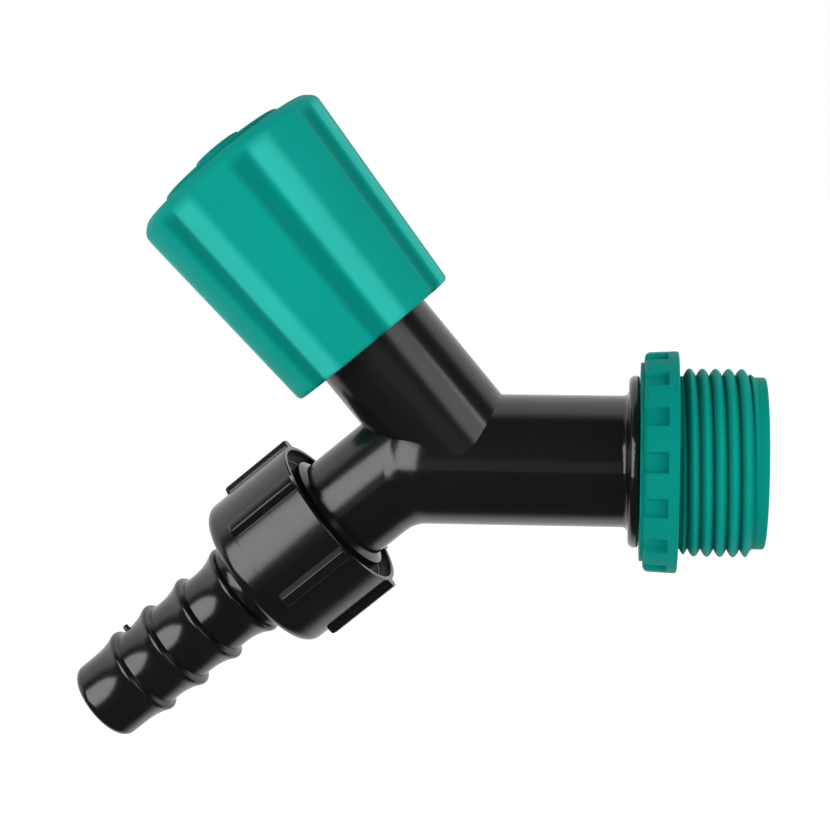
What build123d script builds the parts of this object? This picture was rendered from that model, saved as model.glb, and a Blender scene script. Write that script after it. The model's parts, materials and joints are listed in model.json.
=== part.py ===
from build123d import *
import math
import os

# A plastic garden tap: an inlet pipe along X, a bonnet neck that leans back over the spout,
# a turned knob on a rising spindle, a screwed inlet adapter and a hose tail held by a union nut.
# Millimetres, +Z up. The origin is on the pipe axis, at the shoulder of the adapter's grip ring.

# Fits
SLIDE_FIT = 0.10
SEAT_GAP = 0.05
THREAD_FIT = 0.10
FACE_GAP = 0.10

# Inlet adapter
THREAD_MAJOR_R = 13.2205
THREAD_MINOR_R = 12.059
THREAD_PITCH = 1.814
THREAD_ROOT_WIDTH = 0.34
THREAD_FLANK_ANGLE = 27.5
THREAD_RELIEF = 0.85
THREAD_LENGTH = 9.75
THREAD_PHASE = 1.33
PILOT_LENGTH = 1.75
PILOT_EDGE = 0.25
RING_WIDTH = 4.5
RING_R_BACK = 15.43
RING_R_FRONT = 15.64
RING_BACK_ROUND = 0.85
RING_FRONT_ROUND = 0.3
LIP_WIDTH = 0.55
LIP_STEP = 1.43
NOTCH_COUNT = 15
NOTCH_WIDTH = 2.66
NOTCH_DEPTH = 0.62
NOTCH_RIM = 1.35
NOTCH_TURN = -10.0
SOCKET_R = 10.45
SOCKET_DEPTH = 13.1
SEAL_THICKNESS = 1.95
SEAL_BORE_R = 6.9
WEB_THICKNESS = 2.0
WEB_BORE_R = 6.4
INLET_MOUTH_R = 10.2

# Body: inlet pipe
PIPE_R = 9.3
FLANGE_R = 12.15
FLANGE_THICKNESS = 1.5
FLANGE_EDGE = 0.45
FLANGE_BACK_EDGE = 0.9
FLANGE_FILLET = 0.8
INLET_BORE_R = 6.4
PASSAGE_R = 4.2
PASSAGE_DROP = 1.8

# Body: neck and valve seat, measured along the neck from the pipe axis
NECK_X = -28.65
NECK_ANGLE = 50.5
NECK_R = 9.05
NECK_LENGTH = 33.0
CHAMBER_R = 6.9
CHAMBER_FLOOR = 0.6
SEAT_HEIGHT = 0.5
SEAT_LIP = 1.0
SEAT_WALL = 1.4
ORIFICE_R = 4.5
ORIFICE_DEPTH = 6.8
BUSH_BORE_R = 7.5
BUSH_BORE_DEPTH = 14.0

# Body: spout, measured along the spout from the neck axis
SPOUT_ANGLE = 39.5
SPOUT_RISE = 5.94
SPOUT_R = 7.96
SPOUT_REACH = 28.8
SPOUT_BORE_R = 5.2
SPOUT_COLLAR_R = 9.1
SPOUT_COLLAR_WIDTH = 1.9
SPOUT_THREAD_LENGTH = 7.1
ELBOW_BACK = 5.95
ELBOW_FILLET = 5.0

# Headwork bush in the neck
BUSH_FLANGE_R = 8.6
BUSH_FLANGE_THICKNESS = 1.2
BUSH_COLLAR_R = 6.6
BUSH_COLLAR_HEIGHT = 1.8
BUSH_GROOVE_UP = 2.4
BUSH_RING_R = 0.9
BUSH_FOOT_GAP = 0.3

# Spindle
SPINDLE_R = 3.9
SPINDLE_TOP_R = 3.4
SPINDLE_FLAT = 2.7
SPINDLE_GROOVE_UP = 20.2
SPINDLE_RING_R = 0.85
STEM_R = 2.5
STEM_LENGTH = 6.0

# Valve plate
WASHER_R = 5.9
WASHER_THICKNESS = 2.0
PLATE_R = 6.1
PLATE_THICKNESS = 1.6
WASHER_SCREW_R = 1.2
WASHER_SCREW_HEAD_R = 2.2
WASHER_SCREW_HEAD = 1.0
WASHER_SCREW_LENGTH = 5.2

# Knob
KNOB_COVER = 10.95
KNOB_BASE_R = 13.46
KNOB_DRAFT = 4.0
KNOB_SIDE_LENGTH = 31.6
KNOB_TOP_RIM = 1.15
KNOB_CROWN = 0.2
KNOB_TOP_ROUND = 1.55
KNOB_BASE_ROUND = 0.4
KNOB_BORE_R = 10.35
KNOB_ROOF = 3.95
HUB_R = 5.7
HUB_GAP = 1.6
FLUTE_COUNT = 7
FLUTE_R = 2.3
FLUTE_DEPTH = 0.55
FLUTE_TOP = 3.2
FLUTE_TURN = 14.8
FLUTE_EDGE = 0.7
SCREW_R = 1.45
SCREW_HEAD_R = 3.2
SCREW_HEAD = 2.0
SCREW_CLEARANCE = 0.45
SCREW_LENGTH = 8.0
SCREW_WELL_R = 4.4
HUB_WEB = 1.5

# Knob cap
CAP_R = 10.05
CAP_THICKNESS = 1.2
CAP_PROUD = 0.85
CAP_BOSS_R = 3.8
CAP_BOSS = 1.05
CAP_PLUG = 1.3
CAP_PLUG_WALL = 1.2

# Union nut
NUT_R = 12.15
NUT_LENGTH = 15.35
NUT_END_ROUND = 1.75
NUT_END_WALL = 2.65
NUT_MOUTH_R = 11.45
NUT_MOUTH_DEPTH = 1.6
NUT_HOLE_R = 7.55
NUT_RIB_COUNT = 6
NUT_RIB_WIDTH = 1.5
NUT_RIB_R = 13.2
NUT_RIB_LENGTH = 11.5
NUT_RIB_TURN = 41.5

# Hose tail and its washer
TAIL_WASHER_THICKNESS = 1.5
TAIL_WASHER_R = 10.0
TAIL_WASHER_BORE_R = 5.4
TAIL_FLANGE_R = 10.1
TAIL_FLANGE = 2.1
TAIL_NECK_R = 6.9
TAIL_ROOT_R = 6.15
TAIL_BORE_R = 4.1
FIRST_BARB = 2.15
BARB_COUNT = 4
BARB_PITCH = 6.6
BARB_R = 7.2
BARB_BACK = 0.45
BARB_RAMP = 4.2
TIP_LENGTH = 9.0
TIP_ROUND = 1.3

# Frames: each has its Z along the axis named, and its X towards the viewer's side (-Y)
neck_turn = math.radians(NECK_ANGLE)
spout_turn = math.radians(SPOUT_ANGLE)
neck_dir = Vector(-math.cos(neck_turn), 0, math.sin(neck_turn))
spout_dir = Vector(-math.cos(spout_turn), 0, -math.sin(spout_turn))
neck_foot = Vector(NECK_X, 0, 0)
spout_foot = neck_foot + neck_dir * SPOUT_RISE
INLET = Plane(origin=(0, 0, 0), x_dir=(0, -1, 0), z_dir=(1, 0, 0))
NECK = Plane(origin=neck_foot, x_dir=(0, -1, 0), z_dir=neck_dir)
SPOUT = Plane(origin=spout_foot, x_dir=(0, -1, 0), z_dir=spout_dir)

# Stations along the inlet
lip_face = -RING_WIDTH - LIP_WIDTH
lip_r = RING_R_BACK - LIP_STEP
socket_floor = lip_face + SOCKET_DEPTH
seal_back = socket_floor - SEAT_GAP - SEAL_THICKNESS
spigot_end = seal_back - SEAT_GAP
web_end = socket_floor + WEB_THICKNESS
thread_end = THREAD_RELIEF + THREAD_LENGTH
adapter_end = thread_end + PILOT_LENGTH
flange_front = lip_face - FACE_GAP
flange_back = flange_front - FLANGE_THICKNESS
elbow_x = NECK_X - ELBOW_BACK

# Stations along the neck
seat = CHAMBER_FLOOR + SEAT_HEIGHT
washer_foot = seat + SEAT_GAP
washer_top = washer_foot + WASHER_THICKNESS
plate_top = washer_top + PLATE_THICKNESS
spindle_foot = plate_top + SEAT_GAP
bush_step = NECK_LENGTH - BUSH_BORE_DEPTH
bush_foot = bush_step + BUSH_FOOT_GAP
bush_top = NECK_LENGTH + BUSH_FLANGE_THICKNESS + BUSH_COLLAR_HEIGHT
hub_foot = bush_top + HUB_GAP
knob_base = NECK_LENGTH - KNOB_COVER
knob_shoulder = knob_base + KNOB_SIDE_LENGTH
knob_shoulder_r = KNOB_BASE_R + KNOB_SIDE_LENGTH * math.tan(math.radians(KNOB_DRAFT))
knob_rim = knob_shoulder + KNOB_TOP_RIM
knob_top = knob_rim + KNOB_CROWN
cap_top = knob_top + CAP_PROUD
cap_foot = cap_top - CAP_THICKNESS
cap_floor = cap_foot - SEAT_GAP
knob_roof = knob_top - KNOB_ROOF
hub_top = cap_foot - CAP_PLUG - SCREW_CLEARANCE - SCREW_HEAD
spindle_top = hub_top - HUB_WEB - FACE_GAP
spindle_top_length = spindle_top - hub_foot

# Stations along the spout
spout_end = SPOUT_REACH
spout_thread = spout_end - SPOUT_THREAD_LENGTH
spout_collar = spout_thread - SPOUT_COLLAR_WIDTH
tail_washer_foot = spout_end + SEAT_GAP
tail_face = tail_washer_foot + TAIL_WASHER_THICKNESS + SEAT_GAP
tail_shoulder = tail_face + TAIL_FLANGE
nut_shoulder = tail_shoulder + FACE_GAP
nut_end = nut_shoulder + NUT_END_WALL
nut_mouth = nut_end - NUT_LENGTH
first_barb = nut_end + FIRST_BARB
last_barb = first_barb + (BARB_COUNT - 1) * BARB_PITCH
tail_end = last_barb + TIP_LENGTH


def turned(points, rounds=()):
    """A solid turned about Z from (radius, station) points, with some corners rounded."""
    outline = make_face(Polyline(*points, close=True))
    for corner, radius in rounds:
        outline = fillet(outline.vertices().sort_by_distance(Vector(*corner))[0:1], radius)
    return revolve(Plane.XZ * outline, Axis.Z)


def rod(radius, start, end):
    """A round bar along Z between two stations."""
    return Pos(0, 0, start) * Cylinder(radius, end - start, align=(Align.CENTER, Align.CENTER, Align.MIN))


def tube(outer, inner, start, end):
    """A round tube along Z between two stations."""
    return rod(outer, start, end) - rod(inner, start, end)


def thread_groove(root_r, mouth_r, start, turns):
    """The helical groove between two thread crests, right-handed about Z."""
    root_half = THREAD_ROOT_WIDTH / 2
    mouth_half = root_half + (mouth_r - root_r) * math.tan(math.radians(THREAD_FLANK_ANGLE))
    rails = []
    for radius, shift in (
        (root_r, -root_half),
        (root_r, root_half),
        (mouth_r, mouth_half),
        (mouth_r, -mouth_half),
    ):
        rails.append(
            Helix(THREAD_PITCH, turns * THREAD_PITCH, radius, center=(0, 0, start + shift))
        )
    walls = [Face.make_surface_from_curves(rails[i], rails[(i + 1) % 4]) for i in range(4)]
    ends = [Face(Wire.make_polygon([rail @ t for rail in rails], close=True)) for t in (0, 1)]
    return Solid(Shell(walls + ends))


# Inlet adapter: grip ring, outside thread, socket for the body's spigot
adapter = turned(
    [
        (0, lip_face),
        (lip_r, lip_face),
        (lip_r, -RING_WIDTH),
        (RING_R_BACK, -RING_WIDTH),
        (RING_R_FRONT, 0),
        (THREAD_MINOR_R, 0),
        (THREAD_MINOR_R, adapter_end),
        (0, adapter_end),
    ],
    [
        ((RING_R_BACK, -RING_WIDTH), RING_BACK_ROUND),
        ((RING_R_FRONT, 0), RING_FRONT_ROUND),
        ((THREAD_MINOR_R, adapter_end), PILOT_EDGE),
    ],
)
crests = rod(THREAD_MAJOR_R, THREAD_RELIEF, thread_end)
thread_turns = (THREAD_LENGTH + THREAD_PITCH) / THREAD_PITCH
groove_start = THREAD_PHASE - THREAD_PITCH
groove_root_r = THREAD_MINOR_R - THREAD_FIT
crests -= thread_groove(groove_root_r, THREAD_MAJOR_R + THREAD_FIT, groove_start, thread_turns)
adapter += crests
notch_length = RING_WIDTH - NOTCH_RIM
for step in range(NOTCH_COUNT):
    notch = Pos(RING_R_FRONT - NOTCH_DEPTH, 0, -NOTCH_RIM) * Box(
        2 * NOTCH_DEPTH + RING_BACK_ROUND,
        NOTCH_WIDTH,
        notch_length + FACE_GAP,
        align=(Align.MIN, Align.CENTER, Align.MAX),
    )
    adapter -= Rot(0, 0, NOTCH_TURN + 360 * step / NOTCH_COUNT) * notch
adapter -= rod(SOCKET_R, lip_face, socket_floor)
adapter -= rod(WEB_BORE_R, socket_floor, web_end)
adapter -= rod(INLET_MOUTH_R, web_end, adapter_end)
thread_adapter = INLET * adapter

seal_r = SOCKET_R - SLIDE_FIT
adapter_seal = INLET * tube(seal_r, SEAL_BORE_R, seal_back, seal_back + SEAL_THICKNESS)

# Tap body: outside
spigot_r = SOCKET_R - THREAD_FIT
pipe = turned(
    [
        (0, elbow_x),
        (PIPE_R, elbow_x),
        (PIPE_R, flange_back),
        (FLANGE_R, flange_back),
        (FLANGE_R, flange_front),
        (spigot_r, flange_front),
        (spigot_r, spigot_end),
        (0, spigot_end),
    ],
    [
        ((PIPE_R, flange_back), FLANGE_FILLET),
        ((FLANGE_R, flange_back), FLANGE_BACK_EDGE),
        ((FLANGE_R, flange_front), FLANGE_EDGE),
    ],
)
spout_thread_r = SOCKET_R - THREAD_FIT
spout = turned(
    [
        (0, 0),
        (SPOUT_R, 0),
        (SPOUT_R, spout_collar - (SPOUT_COLLAR_R - SPOUT_R) / 2),
        (SPOUT_COLLAR_R, spout_collar),
        (SPOUT_COLLAR_R, spout_thread),
        (spout_thread_r, spout_thread),
        (spout_thread_r, spout_end),
        (0, spout_end),
    ]
)
body = INLET * pipe + Pos(elbow_x, 0, 0) * Sphere(PIPE_R)
body += SPOUT * spout
crease = body.edges().filter_by(GeomType.BSPLINE).filter_by(lambda edge: edge.length > SPOUT_R / 2)
body = fillet(crease, ELBOW_FILLET)
body += NECK * rod(NECK_R, 0, NECK_LENGTH)

# Tap body: water ways
wall_station = CHAMBER_FLOOR - SEAT_WALL


def way_end(top):
    """Where a passage along X with this top height must stop to leave the seat's wall."""
    return NECK_X + (top * math.sin(neck_turn) - wall_station) / math.cos(neck_turn)


bore_end = way_end(INLET_BORE_R)
passage_end = way_end(PASSAGE_R - PASSAGE_DROP)
body -= INLET * rod(INLET_BORE_R, bore_end, spigot_end)
body -= Pos(0, 0, -PASSAGE_DROP) * (INLET * rod(PASSAGE_R, passage_end, bore_end))
body -= SPOUT * rod(SPOUT_BORE_R, 0, spout_end)
body -= NECK * rod(CHAMBER_R, CHAMBER_FLOOR, bush_step)
body -= NECK * rod(BUSH_BORE_R, bush_step, NECK_LENGTH)
body += NECK * rod(ORIFICE_R + SEAT_LIP, CHAMBER_FLOOR - SEAT_WALL / 2, seat)
body -= NECK * rod(ORIFICE_R, -ORIFICE_DEPTH, seat)
tap_body = body

# Headwork bush with its seal ring
bush_r = BUSH_BORE_R - SLIDE_FIT
bush_inner_r = SPINDLE_R + SLIDE_FIT
bush_groove_mid = bush_foot + BUSH_GROOVE_UP
bush_groove_r = bush_r - 2 * BUSH_RING_R
bush = turned(
    [
        (bush_inner_r, bush_foot),
        (bush_r, bush_foot),
        (bush_r, NECK_LENGTH),
        (BUSH_FLANGE_R, NECK_LENGTH),
        (BUSH_FLANGE_R, NECK_LENGTH + BUSH_FLANGE_THICKNESS),
        (BUSH_COLLAR_R, NECK_LENGTH + BUSH_FLANGE_THICKNESS),
        (BUSH_COLLAR_R, bush_top),
        (bush_inner_r, bush_top),
    ]
)
bush_groove_half = BUSH_RING_R + SLIDE_FIT
bush -= tube(
    bush_r + SLIDE_FIT,
    bush_groove_r,
    bush_groove_mid - bush_groove_half,
    bush_groove_mid + bush_groove_half,
)
headwork_bush = NECK * bush
bush_ring_r = bush_groove_r + BUSH_RING_R + SEAT_GAP
bush_o_ring = NECK * Pos(0, 0, bush_groove_mid) * Torus(bush_ring_r, BUSH_RING_R)

# Spindle with its seal ring
stem_hole_r = STEM_R + SLIDE_FIT
spindle_groove_mid = spindle_foot + SPINDLE_GROOVE_UP
spindle_groove_r = SPINDLE_R - 2 * SPINDLE_RING_R
stem = turned(
    [
        (0, spindle_foot),
        (SPINDLE_R, spindle_foot),
        (SPINDLE_R, hub_foot),
        (SPINDLE_TOP_R, hub_foot),
        (SPINDLE_TOP_R, spindle_top),
        (0, spindle_top),
    ]
)
stem -= rod(stem_hole_r, spindle_foot, spindle_foot + STEM_LENGTH + FACE_GAP)
spindle_groove_half = SPINDLE_RING_R + SLIDE_FIT
stem -= tube(
    SPINDLE_R + SLIDE_FIT,
    spindle_groove_r,
    spindle_groove_mid - spindle_groove_half,
    spindle_groove_mid + spindle_groove_half,
)
flat_cut = Box(
    SPINDLE_TOP_R, 2 * SPINDLE_R, spindle_top_length, align=(Align.MIN, Align.CENTER, Align.MIN)
)
for side in (0, 180):
    stem -= Rot(0, 0, side) * Pos(SPINDLE_FLAT, 0, hub_foot) * flat_cut
screw_hole_r = SCREW_R + SEAT_GAP
screw_tip = hub_top - SCREW_LENGTH
stem -= rod(screw_hole_r, screw_tip - FACE_GAP, spindle_top)
spindle = NECK * stem
spindle_ring_r = spindle_groove_r + SPINDLE_RING_R + SEAT_GAP
spindle_o_ring = NECK * Pos(0, 0, spindle_groove_mid) * Torus(spindle_ring_r, SPINDLE_RING_R)

# Valve plate, its rubber washer and their screw
washer_screw_hole_r = WASHER_SCREW_R + SEAT_GAP
washer_screw_top = washer_foot + WASHER_SCREW_LENGTH
plate = rod(PLATE_R, washer_top, plate_top) + rod(STEM_R, plate_top, spindle_foot + STEM_LENGTH)
plate -= rod(washer_screw_hole_r, washer_top, washer_screw_top + FACE_GAP)
jumper = NECK * plate
seat_washer = NECK * tube(WASHER_R, washer_screw_hole_r, washer_foot, washer_top)
washer_screw = NECK * (
    rod(WASHER_SCREW_HEAD_R, washer_foot - WASHER_SCREW_HEAD, washer_foot)
    + rod(WASHER_SCREW_R, washer_foot, washer_screw_top)
)

# Knob: fluted cone, open below, with a hub on the spindle's flats
cap_well_r = CAP_R + SLIDE_FIT
cone = turned(
    [
        (0, knob_base),
        (KNOB_BASE_R, knob_base),
        (knob_shoulder_r, knob_shoulder),
        (knob_shoulder_r - KNOB_TOP_RIM, knob_rim),
        (cap_well_r, knob_top),
        (0, knob_top),
    ],
    [((knob_shoulder_r, knob_shoulder), KNOB_TOP_ROUND)],
)
flute_end = knob_shoulder - FLUTE_TOP
flute_run = flute_end - knob_base + FLUTE_R
flute_cutter = rod(FLUTE_R, -flute_run, 0) + Sphere(FLUTE_R)
flute_end_r = KNOB_BASE_R + (flute_end - knob_base) * math.tan(math.radians(KNOB_DRAFT))
for step in range(FLUTE_COUNT):
    turn = FLUTE_TURN + 360 * step / FLUTE_COUNT
    place = Rot(0, 0, turn) * Pos(flute_end_r + FLUTE_R - FLUTE_DEPTH, 0, flute_end)
    cone -= place * Rot(0, KNOB_DRAFT, 0) * flute_cutter
flute_edges = cone.edges().filter_by(GeomType.BSPLINE)
flute_edges = flute_edges.filter_by_position(Axis.Z, knob_base + FLUTE_EDGE, knob_top)
cone = fillet(flute_edges, FLUTE_EDGE)
base_edges = cone.edges().filter_by_position(Axis.Z, knob_base - FACE_GAP, knob_base + FACE_GAP)
cone = fillet(base_edges, KNOB_BASE_ROUND)
cone -= rod(KNOB_BORE_R, knob_base, knob_roof)
hub = rod(HUB_R, hub_foot, cap_floor)
socket = rod(SPINDLE_TOP_R + SEAT_GAP, hub_foot, spindle_top + FACE_GAP)
for side in (0, 180):
    socket -= Rot(0, 0, side) * Pos(SPINDLE_FLAT + SEAT_GAP, 0, hub_foot) * flat_cut
cone += hub - socket
cone -= rod(cap_well_r, cap_floor, knob_top)
cone -= rod(SCREW_WELL_R, hub_top, knob_top)
cone -= rod(screw_hole_r, spindle_top, hub_top)
cone -= socket
knob = NECK * cone

knob_screw = NECK * (
    rod(SCREW_R, screw_tip, hub_top) + rod(SCREW_HEAD_R, hub_top, hub_top + SCREW_HEAD)
)
cap_plug_r = SCREW_WELL_R - SLIDE_FIT
cap = rod(CAP_R, cap_foot, cap_top)
cap += rod(CAP_BOSS_R, cap_top, cap_top + CAP_BOSS)
cap += tube(cap_plug_r, cap_plug_r - CAP_PLUG_WALL, cap_foot - CAP_PLUG, cap_foot)
knob_cap = NECK * cap

# Union nut: shell with grip ribs, mouth over the spout's thread, end wall behind the tail's flange
shell = turned(
    [
        (NUT_HOLE_R, nut_end),
        (NUT_R, nut_end),
        (NUT_R, nut_mouth),
        (NUT_MOUTH_R, nut_mouth),
        (NUT_MOUTH_R, nut_mouth + NUT_MOUTH_DEPTH),
        (SOCKET_R, nut_mouth + NUT_MOUTH_DEPTH),
        (SOCKET_R, nut_shoulder),
        (NUT_HOLE_R, nut_shoulder),
    ],
    [((NUT_R, nut_end), NUT_END_ROUND)],
)
rib_depth = NUT_RIB_R - NUT_MOUTH_R
rib = Pos(NUT_RIB_R, 0, nut_mouth) * Box(
    rib_depth, NUT_RIB_WIDTH, NUT_RIB_LENGTH, align=(Align.MAX, Align.CENTER, Align.MIN)
)
for step in range(NUT_RIB_COUNT):
    shell += Rot(0, 0, NUT_RIB_TURN + 360 * step / NUT_RIB_COUNT) * rib
union_nut = SPOUT * shell

# Hose tail and its washer
tail_washer = SPOUT * tube(
    TAIL_WASHER_R, TAIL_WASHER_BORE_R, tail_washer_foot, tail_washer_foot + TAIL_WASHER_THICKNESS
)
tail_points = [
    (TAIL_BORE_R, tail_face),
    (TAIL_FLANGE_R, tail_face),
    (TAIL_FLANGE_R, tail_shoulder),
    (TAIL_NECK_R, tail_shoulder),
    (TAIL_NECK_R, first_barb),
]
for step in range(BARB_COUNT):
    barb = first_barb + step * BARB_PITCH
    if step > 0:
        tail_points.append((TAIL_ROOT_R, barb))
    tail_points.append((BARB_R, barb + BARB_BACK))
    tail_points.append(((BARB_R + 2 * TAIL_ROOT_R) / 3, barb + BARB_BACK + BARB_RAMP / 2))
    tail_points.append((TAIL_ROOT_R, barb + BARB_BACK + BARB_RAMP))
tail_points += [(TAIL_ROOT_R, tail_end), (TAIL_BORE_R, tail_end)]
hose_tail = SPOUT * turned(tail_points, [((TAIL_ROOT_R, tail_end), TIP_ROUND)])

nodes = {
    "tap_body": tap_body,
    "thread_adapter": thread_adapter,
    "adapter_seal": adapter_seal,
    "headwork_bush": headwork_bush,
    "bush_o_ring": bush_o_ring,
    "spindle": spindle,
    "spindle_o_ring": spindle_o_ring,
    "jumper": jumper,
    "seat_washer": seat_washer,
    "washer_screw": washer_screw,
    "knob": knob,
    "knob_screw": knob_screw,
    "knob_cap": knob_cap,
    "union_nut": union_nut,
    "hose_tail": hose_tail,
    "tail_washer": tail_washer,
}
os.makedirs("parts", exist_ok=True)
for name, solid in nodes.items():
    export_step(solid, f"parts/{name}.step")
    print(name, len(solid.solids()), round(solid.volume, 2), solid.is_valid)
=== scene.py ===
import json
import math

import bpy
from bpy.props import FloatProperty, FloatVectorProperty, IntProperty, PointerProperty
from mathutils import Matrix, Vector


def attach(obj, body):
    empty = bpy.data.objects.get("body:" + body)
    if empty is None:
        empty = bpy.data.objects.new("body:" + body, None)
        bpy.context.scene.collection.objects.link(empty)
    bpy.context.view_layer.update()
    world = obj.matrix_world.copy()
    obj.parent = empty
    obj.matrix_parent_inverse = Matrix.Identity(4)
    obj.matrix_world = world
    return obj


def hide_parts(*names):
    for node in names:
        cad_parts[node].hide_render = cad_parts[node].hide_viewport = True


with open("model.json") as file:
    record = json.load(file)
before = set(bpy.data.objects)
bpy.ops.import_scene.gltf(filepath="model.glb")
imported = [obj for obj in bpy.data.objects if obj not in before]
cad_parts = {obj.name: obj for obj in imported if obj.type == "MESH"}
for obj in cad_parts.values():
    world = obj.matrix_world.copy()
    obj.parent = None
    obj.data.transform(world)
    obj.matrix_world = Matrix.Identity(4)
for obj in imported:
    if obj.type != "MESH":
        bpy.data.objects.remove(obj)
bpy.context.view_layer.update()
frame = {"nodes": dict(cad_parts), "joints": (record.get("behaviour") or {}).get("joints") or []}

bl_info = {
    "name": "Garden tap",
    "version": (1, 0, 0),
    "blender": (4, 5, 0),
    "location": "View3D > Sidebar > Tap",
    "description": "Dresses the packed garden tap in moulded plastic and sets a white studio round it",
    "category": "Object",
}

MM = 0.001
SMOOTH_ANGLE = 32
ARC_STEPS = 8
COLLAR = 0.03
LIGHT_DISTANCE = 0.6
PHOTO_WIDTH = 830


def axis_frame(foot, axis):
    """The matrix that takes a piece turned about Z, with X to the viewer, to its axis on the tap."""
    across = Vector((0, -1, 0))
    matrix = Matrix((across, axis.cross(across), axis)).transposed().to_4x4()
    matrix.translation = foot
    return matrix


# The tap's three axes. The record's joints hold the slanted ones, and the inlet lies along X.
AXES = {joint["name"]: Vector(joint["axis"]).normalized() for joint in frame["joints"]}
NECK_AXIS = AXES["knob_turn"]
SPOUT_AXIS = AXES["nut_turn"]
NECK_FOOT = Vector((-28.65 * MM, 0, 0))
SPOUT_FOOT = NECK_FOOT + NECK_AXIS * 5.94 * MM
INLET = axis_frame(Vector((0, 0, 0)), Vector((1, 0, 0)))
NECK = axis_frame(NECK_FOOT, NECK_AXIS)
SPOUT = axis_frame(SPOUT_FOOT, SPOUT_AXIS)
TARGET = Vector((-36.895, 0, 6.255)) * MM


def linear(code):
    """An sRGB hex colour as the linear RGBA that a shader socket takes."""
    values = [int(code[i:i + 2], 16) / 255 for i in (1, 3, 5)]
    return [v / 12.92 if v <= 0.04045 else ((v + 0.055) / 1.055) ** 2.4 for v in values] + [1.0]


def colour_property(label, words, code):
    """A colour that a user can change, with a hex default."""
    return FloatVectorProperty(
        name=label, description=words, subtype="COLOR", size=4, min=0, max=1, default=linear(code)
    )


def length_property(label, words, value):
    """A length that a user can change, given here in millimetres."""
    return FloatProperty(name=label, description=words, unit="LENGTH", min=0, default=value * MM)


def angle_property(label, words, value):
    """An angle that a user can change, given here in degrees."""
    return FloatProperty(name=label, description=words, subtype="ANGLE", default=math.radians(value))


class TapColours(bpy.types.PropertyGroup):
    """The colours of the tap's plastics, rubber and metal."""

    teal: colour_property("Teal", "Knob and inlet adapter", "#089185")
    # Teal of painted shade: this darker teal is painted into the flutes, the thread roots and the notch
    # floors as shade.
    teal_painted_shade: colour_property("Teal of painted shade", "Painted shade in flutes, thread roots and notch floors", "#00796E")
    # Teal of painted highlight: this paler teal is painted on the knob's flank beside each flute as a
    # highlight.
    teal_painted_highlight: colour_property("Teal of painted highlight", "Painted highlight on the flank beside each flute of the knob", "#2AAFA3")
    black: colour_property("Black", "Body, nut and hose tail", "#0B0B0C")
    black_bloom: colour_property("Black bloom", "Where the melt front cooled dull and grey", "#161617")
    rubber: colour_property("Rubber", "Washers and seal rings", "#1B1A19")
    acetal: colour_property("Acetal", "Spindle and valve plate", "#E4E1D6")
    brass: colour_property("Brass", "Valve screw", "#C9A14E")
    steel: colour_property("Steel", "Knob screw", "#B9BBBD")


class TapSizes(bpy.types.PropertyGroup):
    """The sizes of the details that the dressed pieces have."""

    flutes: IntProperty(name="Flutes", description="Grip flutes round the knob", min=3, default=7)
    flute_depth: length_property("Flute depth", "How deep a flute is", 0.48)
    flute_turn: angle_property("Flute turn", "Where the first flute stands, from the front", 14.8)
    flute_spread: angle_property("Flute spread", "Half the angle that a flute covers", 7.4)
    crest_height: length_property("Crest height", "How proud the crest beside a flute stands", 0.12)
    thread_pitch: length_property("Thread pitch", "Crest to crest along the inlet", 1.814)
    notch_depth: length_property("Notch depth", "Depth of the grip ring's notches", 0.62)
    rib_width: length_property("Rib width", "Width of a rib on the union nut", 1.5)
    edge_round: length_property("Edge round", "Round on the moulded edges", 0.28)


class TapStudio(bpy.types.PropertyGroup):
    """Where the camera and the soft boxes stand."""

    azimuth: angle_property("Camera azimuth", "Angle of the view to the right of the front", 5.833)
    elevation: angle_property("Camera elevation", "Angle of the view above the horizon", 9.014)
    roll: angle_property("Camera roll", "Turn of the picture", -0.187)
    distance: length_property("Camera distance", "From the camera to the middle of the tap", 293.832)
    focal: FloatProperty(name="Focal length", description="In pixels of the 830 frame", default=2066.06)
    key_power: FloatProperty(name="Soft box power", description="Left soft box, in watts", default=2.3)
    floor_drop: length_property("Floor drop", "How far the floor lies under the inlet's axis", 125)


def rounded(points, rounds):
    """A profile with some corners rounded: rounds gives a radius for a corner's place in the list."""
    path = []
    for i, point in enumerate(points):
        if i not in rounds:
            path.append(point)
            continue
        corner = Vector(point)
        back = (Vector(points[i - 1]) - corner).normalized()
        ahead = (Vector(points[(i + 1) % len(points)]) - corner).normalized()
        half = back.angle(ahead) / 2
        run = rounds[i] / math.tan(half)
        middle = corner + (back + ahead).normalized() * rounds[i] / math.sin(half)
        first = corner + back * run - middle
        last = corner + ahead * run - middle
        sweep = first.angle_signed(last)
        # A short collar on each side keeps the long faces beside a round flat in their shading.
        path.append(tuple(corner + back * (run + COLLAR)))
        for step in range(ARC_STEPS + 1):
            path.append(tuple(middle + Matrix.Rotation(-sweep * step / ARC_STEPS, 2) @ first))
        path.append(tuple(corner + ahead * (run + COLLAR)))
    return path


def climb(low, high, count):
    """Evenly spaced numbers from low to high, both included."""
    return [low + (high - low) * step / (count - 1) for step in range(count)]


def swell(value):
    """A soft bump: 1 at zero, 0 at plus or minus 1 and beyond."""
    return (1 - value * value) ** 2 if abs(value) < 1 else 0.0


def ramp(value, low, high):
    """A soft step: 0 at low, 1 at high."""
    share = min(max((value - low) / (high - low), 0), 1)
    return share * share * (3 - 2 * share)


def circle(count):
    """Evenly spaced angles once round, in degrees."""
    return climb(0, 360, count + 1)[:-1]


def split_long(path, least, spacing):
    """Adds points to the first edge of a profile that climbs by more than least.

    spacing takes the stations of the edge's two ends and returns the new stations between them.
    """
    edge = next(i for i in range(len(path) - 1) if path[i + 1][1] - path[i][1] > least)
    low = path[edge]
    high = path[edge + 1]
    slope = (high[0] - low[0]) / (high[1] - low[1])
    stations = [s for s in spacing(low[1], high[1]) if low[1] < s < high[1]]
    path[edge + 1:edge + 1] = [(low[0] + slope * (s - low[1]), s) for s in stations]


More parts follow.
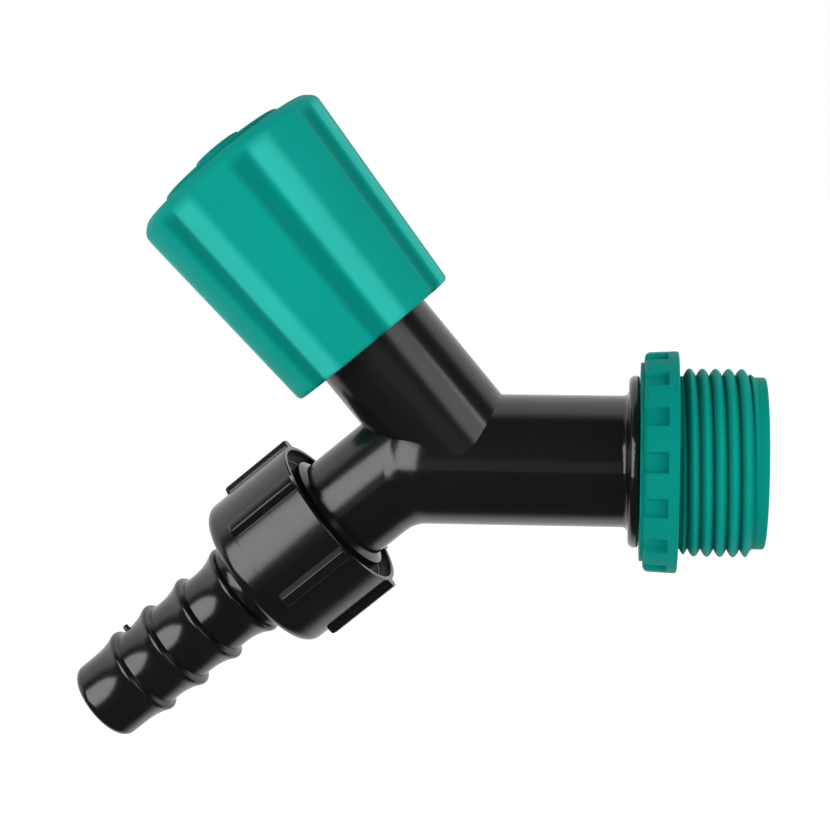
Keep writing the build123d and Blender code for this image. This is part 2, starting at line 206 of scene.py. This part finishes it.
def mesh_piece(name, points, faces, place, smooth_angle=SMOOTH_ANGLE):
    """A smooth-shaded mesh object from points in millimetres, set on one of the tap's axes."""
    mesh = bpy.data.meshes.new(name)
    mesh.from_pydata([place @ (Vector(point) * MM) for point in points], [], faces)
    mesh.validate()
    mesh.shade_smooth()
    mesh.set_sharp_from_angle(angle=math.radians(smooth_angle))
    piece = bpy.data.objects.new(name, mesh)
    bpy.context.scene.collection.objects.link(piece)
    return piece


def turned(name, profile, place, angles, shape=None, smooth_angle=SMOOTH_ANGLE):
    """A closed profile of (radius, station) turned about its axis; shape may move a point in or out."""
    points = []
    for radius, station in profile:
        for angle in angles:
            reach = shape(radius, station, angle) if shape else radius
            turn = math.radians(angle)
            points.append((reach * math.cos(turn), reach * math.sin(turn), station))
    count = len(angles)
    faces = []
    for i in range(len(profile)):
        low = i * count
        high = ((i + 1) % len(profile)) * count
        for j in range(count):
            after = (j + 1) % count
            faces.append((low + j, low + after, high + after, high + j))
    return mesh_piece(name, points, faces, place, smooth_angle)


def mark(piece, name, values):
    """Keeps one number per vertex on the mesh, for its material to read."""
    layer = piece.data.attributes.new(name, "FLOAT", "POINT")
    layer.data.foreach_set("value", values)


def dress(piece, material, body, slot, *nodes):
    """Gives a piece its material, lets it ride on its body and stand for its CAD nodes."""
    piece.data.materials.append(material)
    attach(piece, body)
    if nodes:
        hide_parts(*nodes)


def finish_node(name, material):
    """Gives a CAD node's mesh its material."""
    slots = frame["nodes"][name].data.materials
    slots.clear()
    slots.append(material)


def add(tree, kind, settings=None, links=None):
    """Adds one node, sets its values and joins its inputs to other nodes' outputs."""
    node = tree.nodes.new(kind)
    for key, value in (settings or {}).items():
        if isinstance(key, int) or key in node.inputs:
            node.inputs[key].default_value = value
        else:
            setattr(node, key, value)
    for key, source in (links or {}).items():
        tree.links.new(source, node.inputs[key])
    return node


def new_material(name):
    """An empty node material, and its tree."""
    material = bpy.data.materials.new(name)
    material.use_nodes = True
    material.node_tree.nodes.clear()
    return material, material.node_tree


def teal_polypropylene():
    """Polypropylene, injection moulded in a lightly spark-textured tool.

    To the eye: saturated teal with a satin sheen, soft broad highlights and a fine orange-peel skin,
    with painted shade in the hollows and a painted highlight on the flank beside each flute of the knob.
    """
    colours = bpy.context.scene.tap_colours
    material, tree = new_material("Moulded_polypropylene_teal")
    place = add(tree, "ShaderNodeTexCoord").outputs["Object"]
    # Melt drift runs over about 12 mm; the tool's texture is about 0.35 mm from pit to pit.
    drift = add(tree, "ShaderNodeTexNoise", {"Scale": 1 / (12 * MM), "Detail": 3.0}, {"Vector": place})
    skin = add(tree, "ShaderNodeTexNoise", {"Scale": 1 / (0.35 * MM), "Detail": 2.0}, {"Vector": place})
    painted_shade = add(tree, "ShaderNodeAttribute", {"attribute_name": "painted_shade"}).outputs["Fac"]
    crest = add(tree, "ShaderNodeAttribute", {"attribute_name": "crest"}).outputs["Fac"]
    # Painted shade: the darker teal is mixed in where the mesh marks flutes, thread roots and notch
    # floors.
    deep = add(
        tree,
        "ShaderNodeMix",
        {"data_type": "RGBA", 6: colours.teal, 7: colours.teal_painted_shade},
        {"Factor": painted_shade},
    )
    # Painted highlight: the paler teal is mixed in where the mesh marks the flank beside each flute of
    # the knob.
    pale = add(
        tree,
        "ShaderNodeMix",
        {"data_type": "RGBA", 7: colours.teal_painted_highlight},
        {"Factor": crest, 6: deep.outputs[2]},
    )
    tone = add(
        tree,
        "ShaderNodeMapRange",
        {"To Min": 0.93, "To Max": 1.07},
        {"Value": drift.outputs["Fac"]},
    )
    colour = add(
        tree,
        "ShaderNodeHueSaturation",
        None,
        {"Color": pale.outputs[2], "Value": tone.outputs["Result"]},
    )
    gloss = add(
        tree,
        "ShaderNodeMapRange",
        {"To Min": 0.40, "To Max": 0.50},
        {"Value": skin.outputs["Fac"]},
    )
    bump = add(
        tree,
        "ShaderNodeBump",
        {"Strength": 0.10, "Distance": 0.02 * MM},
        {"Height": skin.outputs["Fac"]},
    )
    shader = add(
        tree,
        "ShaderNodeBsdfPrincipled",
        {"IOR": 1.49, "Specular IOR Level": 0.025},
        {
            "Base Color": colour.outputs["Color"],
            "Roughness": gloss.outputs["Result"],
            "Normal": bump.outputs["Normal"],
        },
    )
    add(tree, "ShaderNodeOutputMaterial", None, {"Surface": shader.outputs["BSDF"]})
    return material


def black_nylon():
    """Glass-filled nylon, injection moulded in a polished tool.

    To the eye: deep black with crisp but slightly wavy highlights, a faint grey bloom where the melt
    flowed, and glossier or duller patches from the glass fibres just under the skin.
    """
    colours = bpy.context.scene.tap_colours
    material, tree = new_material("Moulded_nylon_black")
    place = add(tree, "ShaderNodeTexCoord").outputs["Object"]
    # Flow bloom is some 9 mm across; fibres mottle the skin at about 0.5 mm; sink waves run over 4 mm.
    bloom = add(
        tree,
        "ShaderNodeTexNoise",
        {"Scale": 1 / (9 * MM), "Detail": 4.0, "Distortion": 0.6},
        {"Vector": place},
    )
    fibre = add(tree, "ShaderNodeTexNoise", {"Scale": 1 / (0.5 * MM), "Detail": 2.0}, {"Vector": place})
    wave = add(tree, "ShaderNodeTexNoise", {"Scale": 1 / (4 * MM), "Detail": 1.0}, {"Vector": place})
    colour = add(
        tree,
        "ShaderNodeMix",
        {"data_type": "RGBA", 6: colours.black, 7: colours.black_bloom},
        {"Factor": bloom.outputs["Fac"]},
    )
    gloss = add(
        tree,
        "ShaderNodeMapRange",
        {"To Min": 0.14, "To Max": 0.23},
        {"Value": fibre.outputs["Fac"]},
    )
    sink = add(
        tree,
        "ShaderNodeBump",
        {"Strength": 0.12, "Distance": 0.08 * MM},
        {"Height": wave.outputs["Fac"]},
    )
    bump = add(
        tree,
        "ShaderNodeBump",
        {"Strength": 0.05, "Distance": 0.015 * MM},
        {"Height": fibre.outputs["Fac"], "Normal": sink.outputs["Normal"]},
    )
    shader = add(
        tree,
        "ShaderNodeBsdfPrincipled",
        {"IOR": 1.6},
        {
            "Base Color": colour.outputs[2],
            "Roughness": gloss.outputs["Result"],
            "Normal": bump.outputs["Normal"],
        },
    )
    add(tree, "ShaderNodeOutputMaterial", None, {"Surface": shader.outputs["BSDF"]})
    return material


def grained(name, colour, roughness, spread, grain, metallic, ior):
    """A plain finish with a fine grain in its gloss and its skin, for the pieces inside the tap."""
    material, tree = new_material(name)
    place = add(tree, "ShaderNodeTexCoord").outputs["Object"]
    skin = add(tree, "ShaderNodeTexNoise", {"Scale": 1 / (grain * MM), "Detail": 3.0}, {"Vector": place})
    tone = add(
        tree,
        "ShaderNodeMapRange",
        {"To Min": 0.85, "To Max": 1.15},
        {"Value": skin.outputs["Fac"]},
    )
    shade = add(tree, "ShaderNodeHueSaturation", {"Color": colour}, {"Value": tone.outputs["Result"]})
    gloss = add(
        tree,
        "ShaderNodeMapRange",
        {"To Min": roughness - spread, "To Max": roughness + spread},
        {"Value": skin.outputs["Fac"]},
    )
    bump = add(
        tree,
        "ShaderNodeBump",
        {"Strength": 0.15, "Distance": 0.02 * MM},
        {"Height": skin.outputs["Fac"]},
    )
    shader = add(
        tree,
        "ShaderNodeBsdfPrincipled",
        {"Metallic": metallic, "IOR": ior},
        {
            "Base Color": shade.outputs["Color"],
            "Roughness": gloss.outputs["Result"],
            "Normal": bump.outputs["Normal"],
        },
    )
    add(tree, "ShaderNodeOutputMaterial", None, {"Surface": shader.outputs["BSDF"]})
    return material


def finish_named(name, maker, *values):
    """A material that is made once and then shared."""
    return bpy.data.materials.get(name) or maker(*values)


def teal():
    """The teal plastic."""
    return finish_named("Moulded_polypropylene_teal", teal_polypropylene)


def black():
    """The black plastic."""
    return finish_named("Moulded_nylon_black", black_nylon)


class TAP_OT_knob(bpy.types.Operator):
    """Makes the fluted knob and the cap that closes its top"""

    bl_idname = "tap.knob"
    bl_label = "Knob"

    def execute(self, context):
        sizes = context.scene.tap_sizes
        pitch = 360 / sizes.flutes
        depth = sizes.flute_depth / MM
        proud = sizes.crest_height / MM
        first = math.degrees(sizes.flute_turn)
        spread = math.degrees(sizes.flute_spread)
        skin_r = 12.9
        fade_start = 51.6
        fade_end = 53.8
        crest_turn = 13
        crest_half = 9

        def offset(angle):
            """The angle from the nearest flute's bottom."""
            return (angle - first + pitch / 2) % pitch - pitch / 2

        def reach(radius, station):
            """How much a flute shows here: nothing inside, and it runs out under the shoulder."""
            return (1 - ramp(station, fade_start, fade_end)) if radius > skin_r else 0.0

        def shape(radius, station, angle):
            turn = offset(angle)
            cut = depth * swell(turn / spread) - proud * swell((turn - crest_turn) / crest_half)
            return radius - cut * reach(radius, station)

        edge = sizes.edge_round / MM
        # Radius and station in millimetres: up the outside from the base, over the top and down the hub.
        corners = [
            (10.35, 22.05),
            (13.46, 22.05),
            (15.60, 53.60),
            (14.30, 54.74),
            (10.20, 54.98),
            (10.20, 54.60),
            (4.40, 54.60),
            (4.40, 50.90),
            (1.50, 50.90),
            (1.50, 49.40),
            (3.45, 49.40),
            (3.45, 37.60),
            (5.70, 37.60),
            (5.70, 51.05),
            (10.35, 51.05),
        ]
        path = rounded(corners, {0: edge, 1: 0.75, 2: 1.3, 3: 0.9, 4: 0.15})
        # The side has wide steps up to where the flutes begin to fade, and close ones from there.
        split_long(path, 20, lambda low, high: climb(low, 50.4, 26)[1:] + climb(50.4, high, 22)[1:-1])
        angles = circle(60 * sizes.flutes)
        knob = turned("knob_shell", path, NECK, angles, shape)
        # Painted shade darkens each flute, and a painted highlight lightens the flank between the flute
        # and the crest beside it; both run out under the shoulder.
        painted_shade = []
        crest = []
        for radius, station in path:
            for angle in angles:
                turn = offset(angle)
                show = reach(radius, station)
                rise = ramp(turn, spread * 0.7, spread * 1.15)
                fall = ramp(turn, crest_turn + 3, crest_turn + 10)
                painted_shade.append(show * min(1, 1.5 * swell(turn / (spread * 1.1))))
                crest.append(show * rise * (1 - fall))
        mark(knob, "painted_shade", painted_shade)
        mark(knob, "crest", crest)
        dress(knob, teal(), "handle", "teal_shell", "knob")

        # The cap stands proud of the rim, and a low boss stands on it.
        cap_corners = [
            (0.02, 54.65),
            (10.05, 54.65),
            (10.05, 55.84),
            (3.80, 55.87),
            (3.80, 56.90),
            (0.02, 56.90),
        ]
        cap_path = rounded(cap_corners, {2: 0.2, 3: 0.12, 4: 0.25})
        cap = turned("knob_cap_disc", cap_path, NECK, circle(144))
        plug_corners = [(3.1, 53.45), (4.3, 53.45), (4.3, 54.75), (3.1, 54.75)]
        plug = turned("knob_cap_plug", rounded(plug_corners, {0: 0.2, 1: 0.2}), NECK, circle(96))
        dress(cap, teal(), "handle", "teal_shell", "knob_cap")
        dress(plug, teal(), "handle", "teal_shell")
        return {"FINISHED"}


class TAP_OT_adapter(bpy.types.Operator):
    """Makes the inlet adapter with its notched grip ring and outside thread"""

    bl_idname = "tap.adapter"
    bl_label = "Inlet adapter"

    def execute(self, context):
        sizes = context.scene.tap_sizes
        pitch = sizes.thread_pitch / MM
        notch = sizes.notch_depth / MM
        root = 12.06
        crest = 13.22
        thread_start = 1.33
        ring_r = 15.3
        notch_count = 15
        notch_pitch = 360 / notch_count
        notch_first = -10
        notch_half = math.degrees(2.66 / 2 / ring_r)
        soft = math.degrees(0.14 / ring_r)
        notch_angles = [notch_first + 360 * step / notch_count for step in range(notch_count)]

        def on_ring(radius, station):
            """Whether a point lies on the grip ring's rim."""
            return radius > 14.2 and station < -0.05

        def on_thread(radius, station, end):
            """Whether a point lies on the thread, up to a station."""
            return 11.9 < radius < 14 and 0.3 < station < end

        def notch_share(station, angle):
            """1 on a notch's floor, 0 outside it, with soft walls."""
            turn = (angle - notch_first + notch_pitch / 2) % notch_pitch - notch_pitch / 2
            across = 1 - ramp(abs(turn), notch_half - soft, notch_half + soft)
            return across * (1 - ramp(station, -1.42, -1.20))

        def thread_share(station, angle):
            """How far up the thread's flank a point lies: 0 in the root, 1 on the crest."""
            phase = (station - thread_start - pitch * angle / 360) / pitch
            return abs(math.sin(math.pi * phase)) ** 0.85

        def shape(radius, station, angle):
            if on_ring(radius, station):
                return radius - notch * notch_share(station, angle)
            if on_thread(radius, station, 11.2):
                ends = ramp(station, 0.35, 1.35) * (1 - ramp(station, 9.7, 10.9))
                return root + (crest - root) * thread_share(station, angle) * ends
            return radius

        ring = rounded(
            [(10.45, -5.05), (14.0, -5.05), (14.0, -4.5), (15.43, -4.5), (15.64, 0.24), (12.06, 0.24)],
            {1: 0.15, 3: 0.8, 4: 0.35, 5: 0.1},
        )
        # The rim's steps lie close together where the notches end.
        rim = [-3.2, -2.6, -2.0, -1.5, -1.42, -1.36, -1.31, -1.26, -1.20, -1.1, -0.7]
        split_long(ring, 2, lambda low, high: rim)
        screw = [(root, s) for s in climb(0.4, 11.1, 190)]
        mouth = rounded(
            [
                (12.06, 11.3),
                (12.06, 12.35),
                (10.2, 12.35),
                (10.2, 10.05),
                (6.4, 10.05),
                (6.4, 8.05),
                (10.45, 8.05),
            ],
            {1: 0.3, 2: 0.25, 4: 0.2},
        )
        # Each notch has five steps in either wall, and wider ones on its floor and the land beside it.
        wall = [soft * step for step in (-1.2, -0.6, 0, 0.6, 1.2)]
        turns = [-12.0, -9.0, -6.6, -5.6, -3.0, -1.0, 1.0, 3.0, 6.6, 9.0]
        turns += [-notch_half + step for step in wall] + [notch_half + step for step in wall]
        angles = sorted((middle + turn) % 360 for middle in notch_angles for turn in turns)
        path = ring + screw + mouth
        adapter = turned("inlet_adapter", path, INLET, angles, shape, 40)
        # Painted shade: notch floors darken most toward their closed end and thread roots darken;
        # elsewhere the mix stands at a half, which darkens the adapter's teal all over.
        painted_shade = []
        for radius, station in path:
            for angle in angles:
                if on_ring(radius, station):
                    shade = 0.3 + 0.7 * ramp(station, -4.2, -1.4)
                    painted_shade.append(0.5 + 0.5 * shade * notch_share(station, angle))
                elif on_thread(radius, station, 10.9):
                    painted_shade.append(1 - thread_share(station, angle) ** 2)
                else:
                    painted_shade.append(0.5)
        mark(adapter, "painted_shade", painted_shade)
        mark(adapter, "crest", [0.0] * len(painted_shade))
        dress(adapter, teal(), "inlet", "teal_shell", "thread_adapter")
        return {"FINISHED"}


class TAP_OT_nut(bpy.types.Operator):
    """Makes the union nut with its six grip ribs"""

    bl_idname = "tap.nut"
    bl_label = "Union nut"

    def execute(self, context):
        sizes = context.scene.tap_sizes
        half = sizes.rib_width / MM / 2
        rib_count = 6
        rib_turn = 41.5
        # From the end wall round the outside to the mouth, with the tool's parting line as a fine groove.
        corners = [
            (7.55, 35.25),
            (12.15, 35.25),
            (12.15, 31.70),
            (12.15, 31.63),
            (12.135, 31.56),
            (12.15, 31.49),
            (12.15, 31.42),
            (12.15, 19.90),
            (11.45, 19.90),
            (11.45, 21.50),
            (10.45, 21.50),
            (10.45, 32.60),
            (7.55, 32.60),
        ]
        path = rounded(corners, {0: 0.35, 1: 1.75, 7: 0.22, 8: 0.15, 10: 0.15})
        shell = turned("union_nut_shell", path, SPOUT, circle(192), None, 40)
        dress(shell, black(), "nut", "black_shell", "union_nut")
        lift = 13.2
        outline = [
            (11.70, -half - 0.50),
            (12.25, -half - 0.36),
            (lift - 0.10, -half - 0.03),
            (lift - 0.03, -half + 0.03),
            (lift, -half + 0.12),
            (lift, half - 0.12),
            (lift - 0.03, half - 0.03),
            (lift - 0.10, half + 0.03),
            (12.25, half + 0.36),
            (11.70, half + 0.50),
        ]
        # Stations along a rib, each with the share of its height there.
        steps = [(19.92, 0.93), (20.02, 0.99), (20.2, 1.0)]
        steps += [(30.9, 1.0), (31.2, 0.96), (31.36, 0.86), (31.4, 0.78)]
        points = []
        faces = []
        for rib in range(rib_count):
            turn = Matrix.Rotation(math.radians(rib_turn + 360 / rib_count * rib), 3, "Z")
            start = len(points)
            for station, share in steps:
                for out, across in outline:
                    rise = 12.0 + (out - 12.0) * (share if out > 12 else 1)
                    points.append(turn @ Vector((rise, across * (0.75 + 0.25 * share), station)))
            count = len(outline)
            for i in range(len(steps) - 1):
                for j in range(count):
                    after = (j + 1) % count
                    low = start + i * count
                    faces.append((low + j, low + after, low + count + after, low + count + j))
            faces.append(tuple(start + j for j in reversed(range(count))))
            faces.append(tuple(start + (len(steps) - 1) * count + j for j in range(count)))
        ribs = mesh_piece("union_nut_ribs", points, faces, SPOUT, 50)
        dress(ribs, black(), "nut", "black_shell")
        return {"FINISHED"}


class TAP_OT_tail(bpy.types.Operator):
    """Makes the barbed hose tail with the stub of its moulding gate"""

    bl_idname = "tap.tail"
    bl_label = "Hose tail"

    def execute(self, context):
        # Each barb has a steep back, a rounded crest and a hollow run down to the root.
        backs = [37.40, 44.30, 50.80, 57.10]
        crests = [7.30, 7.12, 7.10, 6.95]
        root = 6.15
        run = 5.9
        path = [(4.1, 30.4), (10.0, 30.4), (10.1, 30.5), (10.1, 32.4), (10.0, 32.5), (6.9, 32.5)]
        path += [(6.9, 33.2), (6.85, 36.0), (6.80, 36.6)]
        for i, back in enumerate(backs):
            crest = crests[i]
            foot = 6.78 if i == 0 else root
            path += [
                (foot, back + 0.22),
                (foot + 0.10 * (crest - foot), back + 0.30),
                (foot + 0.60 * (crest - foot), back + 0.42),
                (crest - 0.10, back + 0.55),
                (crest - 0.02, back + 0.70),
                (crest, back + 0.88),
                (crest - 0.02, back + 1.06),
                (crest - 0.09, back + 1.25),
            ]
            for share in climb(0, 1, 9)[1:]:
                fall = (crest - 0.09 - root) * (1 - share) ** 2.6
                path.append((root + fall, back + 1.25 + (run - 1.25) * share))
        path += rounded([(root, 63.6), (root, 66.2), (4.1, 66.2), (4.1, 64.0)], {1: 1.3, 2: 0.35})
        tail = turned("hose_tail_barbed", path, SPOUT, circle(160), None, 40)
        dress(tail, black(), "tail", "black_shell", "hose_tail")
        stub = [(0.02, 5.9), (0.46, 5.9), (0.43, 6.70), (0.32, 6.88), (0.02, 6.93)]
        gate_station = 55.9 * MM
        gate_turn = math.radians(94)
        place = SPOUT @ Matrix.Translation((0, 0, gate_station)) @ Matrix.Rotation(gate_turn, 4, "Z")
        place = place @ Matrix.Rotation(math.radians(90), 4, "Y")
        gate = turned("hose_tail_gate_stub", stub, place, circle(24), None, 50)
        dress(gate, black(), "tail", "black_shell")
        return {"FINISHED"}


class TAP_OT_body(bpy.types.Operator):
    """Gives the tap's body its black plastic"""

    bl_idname = "tap.body"
    bl_label = "Body"

    def execute(self, context):
        for name in ("tap_body", "headwork_bush"):
            finish_node(name, black())
        return {"FINISHED"}


class TAP_OT_inside(bpy.types.Operator):
    """Gives the spindle, valve plate, seals and screws their finishes"""

    bl_idname = "tap.inside"
    bl_label = "Inner pieces"

    def execute(self, context):
        colours = context.scene.tap_colours
        # Rubber, moulded and dusted: dull charcoal with a fine tooth.
        rubber = grained("Moulded_nitrile_rubber", colours.rubber, 0.62, 0.08, 0.4, 0.0, 1.52)
        # Acetal, turned and moulded: ivory white, waxy, with soft highlights.
        acetal = grained("Moulded_acetal_white", colours.acetal, 0.34, 0.05, 0.6, 0.0, 1.48)
        # Brass, turned: warm yellow with a little tarnish in its gloss.
        brass = grained("Turned_brass", colours.brass, 0.28, 0.10, 0.5, 1.0, 1.5)
        # Steel, zinc plated: cold grey, bright but not a mirror.
        steel = grained("Zinc_plated_steel", colours.steel, 0.32, 0.08, 0.5, 1.0, 1.5)
        finishes = {
            "adapter_seal": rubber,
            "bush_o_ring": rubber,
            "spindle_o_ring": rubber,
            "seat_washer": rubber,
            "tail_washer": rubber,
            "spindle": acetal,
            "jumper": acetal,
            "washer_screw": brass,
            "knob_screw": steel,
        }
        for name, finish in finishes.items():
            finish_node(name, finish)
        return {"FINISHED"}


def around(azimuth, elevation, distance):
    """A point round the tap: azimuth 0 is in front and grows to the right, in radians."""
    level = math.cos(elevation)
    way = Vector((math.sin(azimuth) * level, -math.cos(azimuth) * level, math.sin(elevation)))
    return TARGET + way * distance


def soft_box(name, azimuth, elevation, width, height, power, shows=True):
    """An area light that faces the tap; shows says if the gloss mirrors it."""
    light = bpy.data.lights.new(name, "AREA")
    light.shape = "RECTANGLE"
    light.size = width
    light.size_y = height
    light.energy = power
    holder = bpy.data.objects.new(name, light)
    holder.visible_glossy = shows
    holder.location = around(math.radians(azimuth), math.radians(elevation), LIGHT_DISTANCE)
    holder.rotation_euler = (TARGET - holder.location).to_track_quat("-Z", "Y").to_euler()
    bpy.context.scene.collection.objects.link(holder)


class TAP_OT_stage(bpy.types.Operator):
    """Sets the camera, the pale floor, the soft boxes and the white surround"""

    bl_idname = "tap.stage"
    bl_label = "Studio"

    def execute(self, context):
        scene = context.scene
        studio = scene.tap_studio
        scene.view_settings.view_transform = "Standard"

        lens = bpy.data.cameras.new("camera")
        lens.sensor_width = 36
        lens.lens = lens.sensor_width * studio.focal / PHOTO_WIDTH
        lens.clip_start = 0.01
        eye = bpy.data.objects.new("camera", lens)
        eye.location = around(studio.azimuth, studio.elevation, studio.distance)
        facing = (TARGET - eye.location).to_track_quat("-Z", "Y").to_matrix()
        eye.rotation_euler = (facing @ Matrix.Rotation(studio.roll, 3, "Z")).to_euler()
        scene.collection.objects.link(eye)
        scene.camera = eye

        # Each light has its azimuth and elevation, its width and height in metres and its power.
        key = studio.key_power
        soft_box("soft_box_left", -40, 10, 0.44, 0.46, key)
        soft_box("soft_box_right", 42, 20, 0.30, 0.32, key * 0.20)
        soft_box("strip_right", 62, 20, 0.07, 0.32, key * 0.10)
        soft_box("front_card", 8, -2, 0.50, 0.20, key * 0.025)
        soft_box("fill_right", 62, 28, 0.60, 0.60, key * 0.95, False)

        size = 3.0
        mesh = bpy.data.meshes.new("floor")
        corners = [(-size, -size, 0), (size, -size, 0), (size, size, 0), (-size, size, 0)]
        mesh.from_pydata(corners, [], [(0, 1, 2, 3)])
        floor = bpy.data.objects.new("floor", mesh)
        floor.location = (0, 0, -studio.floor_drop)
        scene.collection.objects.link(floor)
        paper, tree = new_material("Matt_paper_white")
        path = add(tree, "ShaderNodeLightPath").outputs
        # The camera sees some bare paper too, which keeps the tap's shadow.
        seen = add(
            tree,
            "ShaderNodeMath",
            {"operation": "MULTIPLY_ADD", 1: 0.8},
            {0: path["Is Camera Ray"], 2: path["Is Glossy Ray"]},
        )
        share = add(
            tree,
            "ShaderNodeMath",
            {"operation": "MAXIMUM"},
            {0: seen.outputs[0], 1: path["Is Transmission Ray"]},
        )
        spot = add(tree, "ShaderNodeTexCoord").outputs["Object"]
        parts = add(tree, "ShaderNodeSeparateXYZ", None, {0: spot})
        # The paper sweeps up into the cove behind the tap and runs into the dim room in front of it.
        sweep = add(
            tree,
            "ShaderNodeMapRange",
            {"From Min": 0.01, "From Max": 0.05, "To Min": 0.05, "To Max": 0.92},
            {"Value": parts.outputs["Y"]},
        )
        level = add(
            tree,
            "ShaderNodeMix",
            {"data_type": "FLOAT", "B": 1.2},
            {"Factor": path["Is Camera Ray"], "A": sweep.outputs["Result"]},
        )
        matt = add(tree, "ShaderNodeBsdfDiffuse", {"Color": linear("#F4F4F4")})
        glow = add(
            tree,
            "ShaderNodeEmission",
            {"Color": (1, 1, 1, 1)},
            {"Strength": level.outputs["Result"]},
        )
        both = add(
            tree,
            "ShaderNodeMixShader",
            None,
            {"Fac": share.outputs[0], 1: matt.outputs[0], 2: glow.outputs[0]},
        )
        add(tree, "ShaderNodeOutputMaterial", None, {"Surface": both.outputs[0]})
        mesh.materials.append(paper)

        world = bpy.data.worlds.new("studio_surround")
        scene.world = world
        world.use_nodes = True
        tree = world.node_tree
        tree.nodes.clear()
        way = add(tree, "ShaderNodeTexCoord").outputs["Generated"]
        # The white cove stands behind the tap and comes forward on its left; the room in front is dim.
        side = add(
            tree,
            "ShaderNodeVectorMath",
            {"operation": "DOT_PRODUCT", 1: (-0.25, 1.0, 0.0)},
            {0: way},
        )
        cove = add(
            tree,
            "ShaderNodeMapRange",
            {"From Min": -0.05, "From Max": 0.22, "To Min": 0.06, "To Max": 0.92},
            {"Value": side.outputs["Value"]},
        )
        path = add(tree, "ShaderNodeLightPath").outputs
        # The camera sees plain white, and gloss mirrors the cove.
        seen = add(
            tree,
            "ShaderNodeMath",
            {"operation": "MAXIMUM"},
            {0: path["Is Camera Ray"], 1: path["Is Transmission Ray"]},
        )
        level = add(
            tree,
            "ShaderNodeMix",
            {"data_type": "FLOAT", "B": 1.0},
            {"Factor": seen.outputs[0], "A": cove.outputs["Result"]},
        )
        white = add(
            tree,
            "ShaderNodeBackground",
            {"Color": (1, 1, 1, 1)},
            {"Strength": level.outputs["Result"]},
        )
        add(tree, "ShaderNodeOutputWorld", None, {"Surface": white.outputs[0]})
        return {"FINISHED"}


class TAP_PT_panel(bpy.types.Panel):
    """Lists the tap's sizes, colours and steps"""

    bl_idname = "TAP_PT_panel"
    bl_label = "Garden tap"
    bl_space_type = "VIEW_3D"
    bl_region_type = "UI"
    bl_category = "Tap"

    def draw(self, context):
        layout = self.layout
        for group in (context.scene.tap_sizes, context.scene.tap_colours, context.scene.tap_studio):
            box = layout.box()
            for name in group.bl_rna.properties.keys():
                if name not in ("rna_type", "name"):
                    box.prop(group, name)
        for step in STEPS:
            layout.operator(step.bl_idname)


GROUPS = {"tap_colours": TapColours, "tap_sizes": TapSizes, "tap_studio": TapStudio}
STEPS = (
    TAP_OT_stage,
    TAP_OT_body,
    TAP_OT_inside,
    TAP_OT_adapter,
    TAP_OT_knob,
    TAP_OT_nut,
    TAP_OT_tail,
)


def register():
    """Adds the property groups, the steps and the panel."""
    for name, group in GROUPS.items():
        bpy.utils.register_class(group)
        setattr(bpy.types.Scene, name, PointerProperty(type=group))
    for kind in STEPS + (TAP_PT_panel,):
        bpy.utils.register_class(kind)


def unregister():
    """Takes them out again."""
    for kind in (TAP_PT_panel,) + STEPS[::-1]:
        bpy.utils.unregister_class(kind)
    for name, group in GROUPS.items():
        delattr(bpy.types.Scene, name)
        bpy.utils.unregister_class(group)


def main():
    """Registers the add-on and runs its steps in order."""
    register()
    bpy.ops.tap.stage()
    bpy.ops.tap.body()
    bpy.ops.tap.inside()
    bpy.ops.tap.adapter()
    bpy.ops.tap.knob()
    bpy.ops.tap.nut()
    bpy.ops.tap.tail()


if __name__ == "__main__":
    main()
